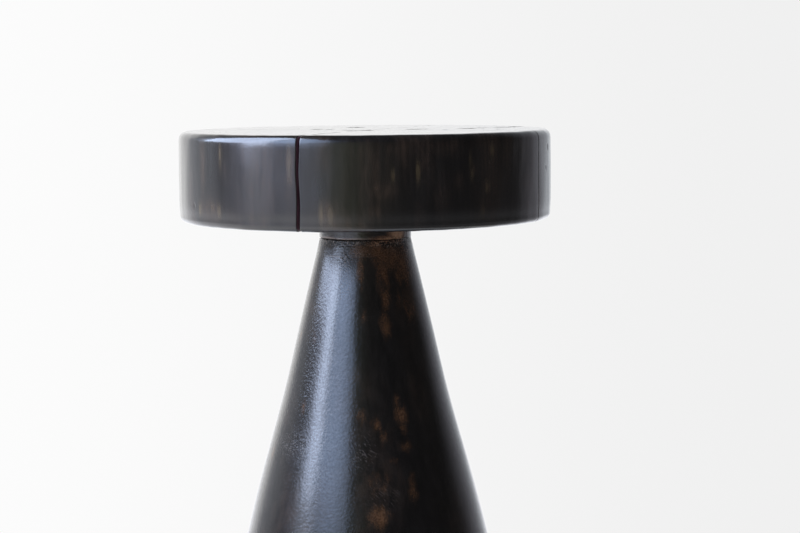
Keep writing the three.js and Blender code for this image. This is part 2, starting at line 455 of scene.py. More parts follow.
def block_grid(index):
    """The points of one seat block in rows and columns, with its wear."""
    corner, rim = block_plan(index)
    rows, mouth = block_rows(corner, rim)
    grid = np.array([at_height(plan, height) for plan, height, slope in rows])
    slopes = np.array([slope for plan, height, slope in rows])[:, None]
    level = grid[..., :2] / from_axis(grid)[..., None]
    flat = grid.reshape(-1, 3)
    depth = uneven(flat, SANDING_DEPTH, SANDING_LENGTH, SEED_UNDULATION)
    depth += uneven(flat * STROKE_SHAPE, STROKE_DEPTH, STROKE_LENGTH, SEED_UNDULATION + 2)
    depth = (depth + pit_depth(flat)).reshape(grid.shape[:2]) + easing(grid[..., 2])
    for seam, own in ((index, True), (after(index), False)):
        depth += broken_arris(seam_distance(grid[..., :2], index, own), ARRIS[seam])
    shift = seam_shift(grid, index)
    grid[..., :2] -= (depth * np.cos(slopes))[..., None] * level
    grid[..., 2] -= depth * np.sin(slopes)
    grid[..., 0] -= shift * level[..., 1]
    grid[..., 1] += shift * level[..., 0]
    wall = [at_height(mouth, height) for height in np.linspace(SEAT_BOTTOM, MORTISE_TOP, MORTISE_ROWS)[1:]]
    shares = np.linspace(0, 1, MORTISE_ROWS)[1:]
    ceiling = [at_height(mouth + share * (corner - mouth), MORTISE_TOP) for share in shares]
    return np.concatenate([grid, wall, ceiling])


def patches(points, places, radius_at):
    """How strongly a list of soft oval patches covers each point, from 0 to 1."""
    cover = np.zeros(len(points))
    azimuth = azimuth_of(points)
    for *place, strength in places:
        away = from_oval(azimuth, points[:, 2], place, radius_at(place[1] * MM))
        cover = np.maximum(cover, strength * np.exp(-(away**2)))
    return cover


def dowel_places():
    """The node, centre and direction of each dowel, read from the model."""
    for index, side in enumerate(SIDES):
        for end in ENDS:
            node = f"dowel_{side}_{end}"
            low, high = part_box(node)
            yield node, index, np.array((low + high) / 2), SEAM_DIRECTIONS[after(index)]


def dowel_size():
    """The dowels' radius and half length, read from the model's dowels."""
    low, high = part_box("dowel_front_inner")
    radius = (high[2] - low[2]) / 2
    slant = abs(math.cos(SEAM_TURN))
    half_length = ((high[0] - low[0]) / 2 - radius * abs(math.sin(SEAM_TURN))) / slant
    return radius, half_length


DOWEL_RADIUS, DOWEL_HALF = dowel_size()


def laid(points, centre, crossways):
    """Points made about the Z axis, laid along a level direction round a centre."""
    x, y = crossways
    return centre + points @ np.array([(-y, x, 0), (0, 0, 1), (x, y, 0)])


def turned_grid(outline, columns):
    """A row of points round the Z axis for each point of an outline of radius and height."""
    radii, heights = np.array(outline, dtype=float).T[:, :, None]
    turns = np.linspace(0, math.tau, columns, endpoint=False)
    return np.stack([radii * np.sin(turns), -radii * np.cos(turns), heights + 0 * turns], axis=-1)


def outline_through(start, *corners):
    """An outline through corners, each with its radius, its height and the steps to it."""
    outline = [start]
    for radius, height, steps in corners:
        outline += list(np.linspace(outline[-1], (radius, height), steps + 1)[1:])
    return outline


def bored(block, index):
    """The block's mesh with the holes of the dowels in its two seams."""
    radius = DOWEL_RADIUS + DOWEL_SIDE_CLEARANCE
    half = DOWEL_HALF + DOWEL_END_CLEARANCE
    outline = [(0, half), (radius, half), (radius, -half), (0, -half)]
    cylinder = turned_grid(outline, BORE_COLUMNS)
    holder = placed("boring", block)
    cutters = []
    for node, seam, centre, crossways in dowel_places():
        if seam not in (index, after(index)):
            continue
        cutter = placed("cutter", skin("cutter", laid(cylinder, centre, crossways)))
        cutters.append(cutter)
        cut = holder.modifiers.new(node, "BOOLEAN")
        cut.operation = "DIFFERENCE"
        cut.solver = "MANIFOLD"
        cut.object = cutter
    made = bpy.data.meshes.new_from_object(holder.evaluated_get(bpy.context.evaluated_depsgraph_get()))
    for helper in [holder, *cutters]:
        bpy.data.objects.remove(helper)
    return made


def seam_faces(mesh, index):
    """1 for the faces of a block's two seams and 0 for the others."""
    centres = np.array([face.center[:2] for face in mesh.polygons])
    normals = np.array([face.normal[:2] for face in mesh.polygons])
    inside = np.zeros(len(centres))
    for own, facing in ((True, after(index)), (False, index)):
        square = np.abs(normals @ SEAM_DIRECTIONS[facing]) > SQUARE_ON
        near = np.abs(seam_distance(centres, index, own)) < SEAM_REACH
        inside[square & near] = 1
    return inside


def seat_block(index):
    side = SIDES[index]
    mesh = bored(skin(f"wood_block_{side}", block_grid(index), wraps=False), index)
    points = points_of(mesh)
    on_rim = smooth(from_axis(points), SEAT_RADIUS - 3 * MM, SEAT_RADIUS - 1 * MM)
    for name, places in (("wear", RIM_STREAKS), ("stain", RIM_STAINS)):
        mark(mesh, name, patches(points, places, lambda height: SEAT_RADIUS) * on_rim)
    mark(mesh, "pit", np.clip(pit_depth(points) / MM, 0, 1))
    mark(mesh, "inside", seam_faces(mesh, index), "FACE")
    finished(f"wood_block_{side}", mesh, f"seat_block_{side}", seat_wood(side))


# The dowels

FLUTES = 20
FLUTE_DEPTH = 0.35 * MM
DOWEL_CHAMFER = 1 * MM
DOWEL_COLUMNS = 120
DOWEL_ROWS = 25


def dowel(node, centre, crossways, material):
    """A fluted dowel with chamfered ends."""
    end = DOWEL_HALF - DOWEL_CHAMFER
    tip = DOWEL_RADIUS - DOWEL_CHAMFER
    outline = outline_through(
        (0, DOWEL_HALF),
        (tip, DOWEL_HALF, 1),
        (DOWEL_RADIUS, end, 1),
        (DOWEL_RADIUS, -end, DOWEL_ROWS),
        (tip, -DOWEL_HALF, 1),
        (0, -DOWEL_HALF, 1),
    )
    grid = turned_grid(outline, DOWEL_COLUMNS)
    turns = np.linspace(0, math.tau, DOWEL_COLUMNS, endpoint=False)
    flute = FLUTE_DEPTH * (0.5 - 0.5 * np.cos(FLUTES * turns)) ** 2
    grid[..., :2] *= 1 - flute[None, :, None] / np.maximum(from_axis(grid)[..., None], FLUTE_DEPTH * 2)
    mesh = skin(node, laid(grid, centre, crossways))
    finished(f"fluted_{node}", mesh, node, material)


# The collar and the pedestal

# The flare's slow waves and fuller left side, as its outline in the photograph shows them
TURNING_WAVE = 0.5 * MM
TURNING_WAVE_LENGTH = 157 * MM
TURNING_WAVE_TOP = 314.2 * MM
TURNING_WAVE_FROM = 60 * MM
FULLER_LEFT = 2.2 * MM
FULLER_FROM = 90 * MM
FULLER_TO = 200 * MM
FULLER_LOST = 0.6
FLARE_DENTS = 0.14 * MM
FLARE_DENT_LENGTH = 60 * MM

# Rough tool marks round the neck: a chattered band under the collar, then finer rings
CHATTER_TOP = 368.3 * MM
CHATTER_BOTTOM = 364 * MM
CHATTER_DEPTH = 0.3 * MM
CHATTER_ROUGH = 0.05 * MM
CHATTER_GRAIN = 1.5 * MM
CHATTER_FADE = 0.6 * MM
CHATTER_LOWER_FADE = (-2 * MM, 1.5 * MM)
RINGS_BOTTOM = 352 * MM
RING_SPACING = 1.25 * MM
RING_DEPTH = 0.06 * MM
RING_ROUGH = 0.4
COLLAR_RING_ROUGH = 0.6
NECK_RISE = 7 * MM

# How far the band, the rings and the worn lines wander up and down, and over what length
BAND_WANDER = (0.6 * MM, 22 * MM)
RING_WANDER = (0.4 * MM, 30 * MM)
LINE_WANDER = (0.2 * MM, 24 * MM)

# Rough places below the band, where the tool tore the grain
ROUGH_PLACES = (
    (-22, 352, 7, 8, 0.85), (-6, 358, 12, 4, 0.6), (40, 366, 12, 8, 0.7), (58, 360, 8, 12, 0.7),
    (150, 356, 14, 8, 0.6), (230, 360, 12, 6, 0.5),
)

# Where the stain has rubbed off round the neck: the joint's edge and one turned ring, fading in from right
# to left between two parts of the radius. Their pale colour is real wear, and towards the window side also
# a painted highlight.
JOINT_LINE = 0.9 * MM
WORN_RING = 355.6 * MM
WORN_RING_WIDTH = 0.5 * MM
WORN_RING_STRENGTH = 0.3
HIGHLIGHT_SIDE = (-0.35, 0.45)

# Brown patches where the stain is thin
BLOTCHES = (
    (44, 373, 11, 8, 2.1), (27, 369, 14, 4, 1.75), (12, 366, 10, 4, 1.45), (-5, 360, 12, 9, 1.0),
    (12, 361, 12, 9, 1.05), (32, 356, 22, 14, 1.05), (48, 350, 16, 24, 1.0),
    (46, 318, 14, 22, 0.75), (-6.8, 345, 5, 15, 0.9), (18, 344, 7, 20, 0.9), (17, 322, 6, 20, 0.75),
    (16.1, 302, 6, 12, 0.9), (33.5, 323, 5, 9, 0.7), (37, 306, 4, 6, 0.5), (-1.5, 309, 4, 8, 0.65),
    (-58, 311, 4, 7, 0.55), (-49, 290, 4, 10, 0.5), (-47.6, 235, 5, 8, 0.6), (20, 241, 5, 9, 0.75),
    (22.5, 231, 7, 11, 0.95), (22.8, 221, 5, 7, 0.75), (-4.4, 231, 5, 9, 0.7),
    (6.4, 224, 6, 8, 0.65), (9.8, 214, 6, 8, 0.7), (22.6, 207, 8, 7, 0.7), (14.9, 196, 7, 5, 0.6),
    (24, 175, 6, 16, 0.75), (7, 178, 14, 18, 0.45), (4.6, 154, 10, 12, 0.95), (5, 161, 6, 5, 0.7),
)

# How many more there are where the photograph doesn't show the pedestal, and the ranges of height,
# share of the turn and the rest. Low down they lie all round, and above only at the back.
STRAY_BLOTCHES = (46, (15, 365), (0, 1), (2, 7), (4, 16), (0.4, 0.85))
STRAY_ALL_ROUND_BELOW = 145

# Fine scratches gather in a few places
SCUFFS = (
    (-54, 205, 16, 11, 1.0), (-42, 198, 9, 8, 0.8), (-3, 205, 10, 12, 0.9), (-20, 330, 10, 16, 0.5),
    (8, 168, 14, 9, 0.6), (120, 240, 14, 16, 0.8), (205, 150, 18, 14, 0.8), (255, 290, 10, 14, 0.6),
)


def flare_radius(height):
    """The flare's radius at a height, from the same cubic curve as the model's outline."""
    share = (height - BASE_BOTTOM) / (SHOULDER - BASE_BOTTOM)
    spread = BASE_RADIUS - NECK_RADIUS
    radii = (
        BASE_RADIUS,
        NECK_RADIUS + spread * FLARE_LOWER_HANDLE,
        NECK_RADIUS + spread * FLARE_UPPER_HANDLE,
        NECK_RADIUS,
    )
    parts = ((1 - share) ** 3, 3 * share * (1 - share) ** 2, 3 * share**2 * (1 - share), share**3)
    return sum(radius * part for radius, part in zip(radii, parts))


def pedestal_outline():
    """The pedestal's outline of radius and height, from the underside's centre to the tenon's top."""
    recess_top = BASE_BOTTOM + RECESS_DEPTH
    foot = BASE_RADIUS - BASE_EDGE_ROUND
    shares = (0, 0.3, 0.6)
    centre = [(CENTRE_MARK_RADIUS * t, recess_top + CENTRE_MARK_DEPTH * (1 - t)) for t in shares]
    outline = centre + outline_through(
        (CENTRE_MARK_RADIUS, recess_top),
        (RECESS_RADIUS, recess_top, 29),
        (RECESS_RADIUS, BASE_BOTTOM, 3),
        (foot, BASE_BOTTOM, 11),
    )
    edge_top = BASE_BOTTOM + BASE_EDGE_ROUND
    edge_radius = flare_radius(edge_top)
    for share in np.linspace(0, 1, 10)[1:]:
        radius = foot * (1 - share) ** 2 + 2 * BASE_RADIUS * share * (1 - share) + edge_radius * share**2
        outline.append((radius, BASE_BOTTOM + BASE_EDGE_ROUND * share**2))
    neck_start = RINGS_BOTTOM - NECK_RISE
    heights = np.concatenate([
        np.arange(edge_top + FLARE_STEP, neck_start, FLARE_STEP),
        np.arange(neck_start, SHOULDER - NECK_STEP, NECK_STEP),
    ])
    outline += [(flare_radius(height), height) for height in heights]
    return outline + outline_through(
        (NECK_RADIUS, SHOULDER),
        (TENON_RADIUS, SHOULDER, 4),
        (TENON_RADIUS, TENON_TOP - TENON_CHAMFER, 13),
        (TENON_RADIUS - TENON_CHAMFER, TENON_TOP, 1),
        (TENON_RADIUS / 2, TENON_TOP, 1),
        (0, TENON_TOP, 1),
    )


def wandering(points, wander, seed):
    """The heights of points, which wander up and down by a depth and over a length."""
    depth, length = wander
    return points[:, 2] + depth * ripples(points, length, seed)


def chatter_band(points):
    """1 in the chattered band below the collar and 0 elsewhere, with soft edges."""
    height = wandering(points, BAND_WANDER, SEED_CHATTER + 4)
    low, high = CHATTER_LOWER_FADE
    band = smooth(height, CHATTER_BOTTOM + low, CHATTER_BOTTOM + high)
    return band * (1 - smooth(height, CHATTER_TOP - CHATTER_FADE, CHATTER_TOP))


def turned_rings(height):
    """Rings round the neck, from 0 to 1."""
    return 0.5 + 0.5 * np.sin(math.tau * height / RING_SPACING)


def tool_marks(points):
    """The depth of the tool marks round the neck."""
    height = points[:, 2]
    band = chatter_band(points)
    rough = ripples(points, CHATTER_GRAIN, SEED_CHATTER)
    depth = band * (CHATTER_DEPTH + CHATTER_ROUGH * rough)
    fade = smooth(height, RINGS_BOTTOM - NECK_RISE, RINGS_BOTTOM + NECK_RISE) * (height < SHOULDER)
    rings = turned_rings(wandering(points, RING_WANDER, SEED_CHATTER + 1))
    return depth + fade * RING_DEPTH * (rings + RING_ROUGH * rough)


def worn_lines_and_highlight(points):
    """Thin pale lines round the neck, at the joint and on one turned ring: worn, with a painted highlight
    on the window side.
    """
    height = wandering(points, LINE_WANDER, SEED_CHATTER + 3)
    joint = np.exp(-(((height - COLLAR_BOTTOM - JOINT_LINE) / JOINT_LINE) ** 2))
    ring = WORN_RING_STRENGTH * np.exp(-(((height - WORN_RING) / WORN_RING_WIDTH) ** 2))
    return np.maximum(joint, ring) * smooth(-np.sin(azimuth_of(points)), *HIGHLIGHT_SIDE)


def on_flare(points):
    """1 on the pedestal's outer face and 0 on its underside and tenon."""
    height = points[:, 2]
    outside = from_axis(points) > NECK_RADIUS / 2
    return smooth(height, BASE_BOTTOM, BASE_BOTTOM + BASE_EDGE_ROUND) * (height < SHOULDER) * outside


def stray_blotches():
    """The blotches that are strewn by chance."""
    blotches = []
    for height, share, *rest in strewn(SEED_BLOTCHES, *STRAY_BLOTCHES):
        azimuth = 360 * share - 180 if height <= STRAY_ALL_ROUND_BELOW else 220 * share + 70
        blotches.append((azimuth, height, *rest))
    return blotches


def fuller(points):
    """How much further out the pedestal stands, most on its left and less near the neck."""
    leftwards = 0.5 - 0.5 * np.sin(azimuth_of(points))
    height = points[:, 2]
    lost = FULLER_LOST * smooth(height, FULLER_TO, SHOULDER)
    return FULLER_LEFT * leftwards * (smooth(height, BASE_BOTTOM, FULLER_FROM) * (1 - lost))


def pedestal():
    grid = turned_grid(pedestal_outline(), TURNED_COLUMNS)
    points = grid.reshape(-1, 3)
    height = points[:, 2]
    wave = TURNING_WAVE * np.cos(math.tau * (height - TURNING_WAVE_TOP) / TURNING_WAVE_LENGTH)
    fade = smooth(height, BASE_BOTTOM, TURNING_WAVE_FROM) * (1 - smooth(height, RINGS_BOTTOM, SHOULDER))
    dents = uneven(points, FLARE_DENTS, FLARE_DENT_LENGTH, SEED_UNDULATION + 1)
    growth = (wave * fade + fuller(points) - dents) * on_flare(points) - tool_marks(points)
    radius = from_axis(points)
    outside = radius > NECK_RADIUS / 2
    points[:, :2] *= 1 + np.divide(growth, radius, out=np.zeros_like(radius), where=outside)[:, None]
    mesh = skin("turned_pedestal", grid)
    places = points_of(mesh)
    outer = on_flare(places)
    rough = chatter_band(places) + patches(places, ROUGH_PLACES, flare_radius)
    mark(mesh, "wear", patches(places, (*BLOTCHES, *stray_blotches()), flare_radius) * outer)
    mark(mesh, "line", worn_lines_and_highlight(places) * outer)
    mark(mesh, "chatter", rough * outer)
    mark(mesh, "scuff", patches(places, SCUFFS, flare_radius))
    finished("turned_pedestal", mesh, "pedestal", pedestal_wood("pedestal_wood"))


def collar():
    """The collar: a ring with broken edges and rings of tool marks outside."""
    low, high = COLLAR_BOTTOM + COLLAR_CHAMFER, COLLAR_TOP - COLLAR_CHAMFER
    outline = outline_through(
        (MORTISE_RADIUS, COLLAR_TOP),
        (MORTISE_RADIUS, COLLAR_BOTTOM, 5),
        (NECK_RADIUS - COLLAR_CHAMFER, COLLAR_BOTTOM, 5),
        (NECK_RADIUS, low, 1),
        (NECK_RADIUS, high, round((high - low) / NECK_STEP) - 1),
        (NECK_RADIUS - COLLAR_CHAMFER, COLLAR_TOP, 1),
        (MORTISE_RADIUS, COLLAR_TOP, 5),
    )
    grid = turned_grid(outline[:-1], TURNED_COLUMNS)
    points = grid.reshape(-1, 3)
    outside = from_axis(points) > NECK_RADIUS - COLLAR_CHAMFER / 2
    rough = 1 + ripples(points, CHATTER_GRAIN * 2, SEED_CHATTER + 2)
    depth = RING_DEPTH * (turned_rings(points[:, 2]) + COLLAR_RING_ROUGH * rough)
    points[:, :2] *= (1 + outside * (fuller(points) - depth) / NECK_RADIUS)[:, None]
    mesh = skin("turned_collar", grid, poles=False)
    places = points_of(mesh)
    mark(mesh, "wear", patches(places, BLOTCHES, lambda height: NECK_RADIUS))
    mark(mesh, "line", worn_lines_and_highlight(places))
    mark(mesh, "chatter", patches(places, ROUGH_PLACES, lambda height: NECK_RADIUS))
    mark(mesh, "scuff", np.zeros(len(places)))
    finished("turned_collar", mesh, "neck_collar", pedestal_wood("collar_wood"))


# The felt glides

GLIDE_COLUMNS = 96
GLIDE_ROUND = 0.9 * MM
FELT_FUZZ = 0.09 * MM
FELT_FIBRE = 1.2 * MM


def glide(node, material):
    """A pressed felt pad with soft edges."""
    low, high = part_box(node)
    middle = np.array((low + high) / 2)
    radius = (high[0] - low[0]) / 2
    flat = radius - GLIDE_ROUND
    outline = outline_through((0, low[2]), (flat, low[2], 13))
    turns = np.linspace(0, QUARTER, 7)
    for centre, slopes in ((low[2] + GLIDE_ROUND, -turns[-2::-1]), (high[2] - GLIDE_ROUND, turns)):
        outline += [(flat + GLIDE_ROUND * math.cos(t), centre + GLIDE_ROUND * math.sin(t)) for t in slopes]
    outline += outline_through((flat, high[2]), (0, high[2], 13))[1:]
    grid = turned_grid(outline, GLIDE_COLUMNS)
    points = grid.reshape(-1, 3) + middle * (1, 1, 0)
    fuzz = FELT_FUZZ * (0.5 + 0.5 * ripples(points, FELT_FIBRE, SEED_FELT)).clip(0, 1)
    outwards = (points - middle) * (1, 1, 0.2)
    outwards /= np.maximum(np.linalg.norm(outwards, axis=1, keepdims=True), MM)
    side_only = smooth(from_axis(points - middle), flat - GLIDE_ROUND, flat)
    points -= outwards * (fuzz * side_only)[:, None]
    mesh = skin(node, points.reshape(grid.shape))
    finished(f"felt_{node}", mesh, node, material)


# Materials

# The colour sockets of the Mix node, which its names don't tell apart
MIX_FIRST = 6
MIX_SECOND = 7
MIX_RESULT = 2

# Each noise in the materials: how often it repeats across and up in a metre, its detail and roughness
NOISES = {
    "bend": (14, 4, 2, 0.5),
    "streaks": (150, 9, 4, 0.6),
    "speckle": (1100, 1100, 2, 0.6),
    "seat_clouds": (26, 10, 3, 0.5),
    "seat_mottle": (150, 75, 3, 0.6),
    "bands": (70, 16, 3, 0.6),
    "fibres": (420, 40, 3, 0.5),
    "pebbles": (480, 480, 2, 0.5),
    "pedestal_clouds": (22, 9, 3, 0.5),
    "pedestal_mottle": (140, 60, 4, 0.6),
    "ragged": (150, 75, 6, 0.68),
    "fine": (900, 900, 2, 0.6),
    "tearing": (850, 700, 3, 0.5),
    "strokes": (1250, 120, 1, 0.5),
    "matt": (640, 640, 3, 0.65),
    "beech": (300, 300, 4, 0.5),
    "felt": (2400, 2400, 5, 0.7),
    "clumps": (500, 500, 2, 0.5),
    "floor": (3, 3, 2, 0.5),
}


class Shading:
    """A node tree, with short calls for the nodes that it is built from."""

    def __init__(self, tree):
        self.tree = tree

    def feed(self, value, socket):
        """Joins or sets a socket's value, which is red, green and blue for a colour."""
        if isinstance(value, bpy.types.NodeSocket):
            self.tree.links.new(value, socket)
        else:
            socket.default_value = (*value, 1.0) if socket.type == "RGBA" else value

    def add(self, kind, inputs=None, **settings):
        node = self.tree.nodes.new(f"ShaderNode{kind}")
        for name, value in settings.items():
            setattr(node, name, value)
        for key, value in (inputs or {}).items():
            self.feed(value, node.inputs[key])
        return node

    def math(self, operation, *values):
        return self.add("Math", dict(enumerate(values)), operation=operation).outputs[0]

    def times(self, first, second):
        return self.math("MULTIPLY", first, second)

    def total(self, start, *parts):
        """A value plus the parts, each of which is a value and its weight."""
        for value, weight in parts:
            start = self.math("MULTIPLY_ADD", value, weight, start)
        return start

    def vector(self, operation, first, second):
        return self.add("VectorMath", {0: first, 1: second}, operation=operation).outputs[0]

    def length(self, vector):
        return self.add("VectorMath", {0: vector}, operation="LENGTH").outputs["Value"]

    def step(self, value, low, high, bottom=0.0, top=1.0):
        """A smooth step of a value from bottom to top."""
        inputs = {"Value": value, "From Min": low, "From Max": high, "To Min": bottom, "To Max": top}
        return self.add("MapRange", inputs, interpolation_type="SMOOTHSTEP").outputs["Result"]

    def blend(self, factor, first, second):
        inputs = {0: factor, MIX_FIRST: first, MIX_SECOND: second}
        return self.add("Mix", inputs, data_type="RGBA").outputs[MIX_RESULT]


class Material(Shading):
    """A new material's nodes, with the place on the surface and the colour so far."""

    def __init__(self, name):
        self.material = bpy.data.materials.new(name)
        self.material.use_nodes = True
        super().__init__(self.material.node_tree)
        self.shader = self.tree.nodes["Principled BSDF"]
        self.place = self.add("TexCoord").outputs["Object"]
        self.colour = None

    def leaning(self, angle):
        """The place in a wood that leans to the side by an angle."""
        inputs = {"Vector": self.place, "Axis": (0, 1, 0), "Angle": angle}
        return self.add("VectorRotate", inputs).outputs[0]

    def noise(self, name, place=None, bent=0.0):
        """One of the noises, at the surface's own place unless another is given."""
        across, up, detail, roughness = NOISES[name]
        place = self.vector("MULTIPLY", self.place if place is None else place, (across, across, up))
        inputs = {"Vector": place, "Scale": 1.0, "Detail": detail, "Roughness": roughness}
        return self.add("TexNoise", {**inputs, "Distortion": bent}).outputs["Fac"]

    def cells(self, place, stretch):
        inputs = {"Vector": self.vector("MULTIPLY", place, stretch), "Scale": 1.0}
        return self.add("TexVoronoi", inputs).outputs["Distance"]

    def marked(self, name):
        return self.add("Attribute", attribute_name=name).outputs["Fac"]

    def cover(self, share, colour, strength=None):
        """Lays a colour over the colour so far."""
        share = share if strength is None else self.times(share, strength)
        self.colour = self.blend(share, self.colour, colour)

    def put(self, socket, value):
        self.feed(value, self.shader.inputs[socket])

    def relief(self, height):
        """The normal of a surface with a height in millimetres."""
        inputs = {"Height": height, "Distance": MM, "Strength": 1.0}
        return self.add("Bump", inputs).outputs["Normal"]

    def polish(self, roughness, weight, height):
        """A clear polish over the wood, which keeps only a slight relief of its own."""
        self.put("Coat Weight", weight)
        self.put("Coat Roughness", roughness)
        self.put("Coat Normal", self.relief(height))

    def finish(self, roughness, height):
        """Joins the colour, a roughness and a height in millimetres to the shader."""
        self.put("Base Color", self.colour)
        self.put("Roughness", roughness)
        self.put("Normal", self.relief(height))
        return self.material


# Colours, as linear red, green and blue
# The deep tone is the wood's own. It is also painted into the seat's pits and the neck's torn pocks as
# painted shade.
EBONY_DEEP_AND_SHADE = (0.005, 0.0042, 0.004)
EBONY_MIDDLE = (0.012, 0.0098, 0.0088)
EBONY_WARM = (0.07, 0.041, 0.027)
WEAR_BROWN = (0.16, 0.068, 0.027)
WEAR_TAN = (0.165, 0.11, 0.05)
# Pale wear on scratches and rubbed lines. The same colour also paints highlights on the torn grain and on
# the neck lines' window side.
PALE_WEAR_AND_GLINT = (0.26, 0.2, 0.17)
WEAR_BARE = (0.52, 0.29, 0.17)
SEAM_WOOD = (0.17, 0.085, 0.1)
BEECH_DARK = (0.42, 0.25, 0.12)
BEECH_LIGHT = (0.55, 0.36, 0.19)
BEECH_FLECK = (0.25, 0.13, 0.06)
FELT_DARK = (0.028, 0.025, 0.022)
FELT_LIGHT = (0.075, 0.068, 0.06)
FELT_CLUMP = (0.055, 0.05, 0.045)

# How rough the clear polish is, and the relief that it keeps, in millimetres
SEAT_POLISH = 0.13
PEDESTAL_POLISH = 0.16
FIBRE_HEIGHT = 0.02
SEAT_PEBBLE_HEIGHT = 0.056
PEBBLE_HEIGHT = 0.28
SCRATCH_HEIGHT = 0.1
TORN_HEIGHT = 0.4

# The growth rings' centres, in metres, the rings' width and the grain's lean, in radians
PITHS = {
    "front": (-0.02, -0.19, 0),
    "right": (0.21, 0.05, 0),
    "back": (0.03, 0.22, 0),
    "left": (-0.20, 0.02, 0),
    "pedestal": (0.016, 0.01, 0),
}
SEAT_RING = 4.2 * MM
SEAT_LEAN = 0.02
PEDESTAL_RING = 5.5 * MM
PEDESTAL_LEAN = 0.05

# How far the strokes in the scuffs lean, in radians
STROKE_LEAN = 0.8


def ebonised(wood, pith, ring_width, lean):
    """The growth rings, streaks, pores and fine speckle of a wood whose grain runs up the stool."""
    leaning = wood.leaning(lean)
    from_pith = wood.vector("SUBTRACT", leaning, PITHS[pith])
    distance = wood.length(wood.vector("MULTIPLY", from_pith, (1, 1, 0.03)))
    swayed = wood.total(distance, (wood.noise("bend", leaning), 0.03))
    wave = wood.math("SINE", wood.times(swayed, math.tau / ring_width))
    rings = wood.step(wave, -0.6, 1.0)
    streaks = wood.noise("streaks", leaning)
    pores = wood.step(wood.cells(leaning, (900, 900, 40)), 0.08, 0.32, 1.0, 0.0)
    return rings, streaks, pores, wood.noise("speckle")


def seat_wood(side):
    """Ebonised wood with rings, pores and checks on top and streaks on the rim."""
    wood = Material(f"seat_wood_{side}")
    rings, streaks, pores, speckle = ebonised(wood, side, SEAT_RING, SEAT_LEAN)
    bands = wood.noise("bands")
    wood.colour = wood.blend(wood.step(streaks, 0.35, 0.65), EBONY_DEEP_AND_SHADE, EBONY_MIDDLE)
    thin = wood.times(wood.step(wood.noise("seat_clouds"), 0.42, 0.64), 0.5)
    thin = wood.math("MAXIMUM", thin, wood.marked("stain"))
    warm = wood.times(thin, wood.step(bands, 0.35, 0.6, 0.2, 1.15))
    warm = wood.times(warm, wood.step(wood.noise("seat_mottle"), 0.25, 0.72, 0.4, 1.05))
    wood.cover(warm, EBONY_WARM)
    wood.cover(rings, EBONY_DEEP_AND_SHADE, 0.35)
    worn = wood.times(wood.marked("wear"), wood.step(wood.noise("fibres"), 0.2, 0.65, 0.2, 1.0))
    wood.cover(worn, WEAR_TAN)
    pit, inside = wood.marked("pit"), wood.marked("inside")
    # The pits are painted in the deep tone as painted shade in their hollows. Their higher roughness below
    # is real.
    wood.cover(pit, EBONY_DEEP_AND_SHADE)
    wood.cover(inside, SEAM_WOOD)
    roughness = wood.total(0.12, (bands, 0.16), (streaks, 0.08), (worn, 0.2), (pit, 0.35), (inside, 0.4))
    relief = wood.total(0.0, (streaks, FIBRE_HEIGHT), (wood.noise("pebbles"), SEAT_PEBBLE_HEIGHT))
    wood.polish(SEAT_POLISH, 1.0, relief)
    height = wood.total(0.0, (rings, 0.012), (streaks, 0.03), (pores, -0.02), (speckle, 0.012))
    return wood.finish(roughness, height)


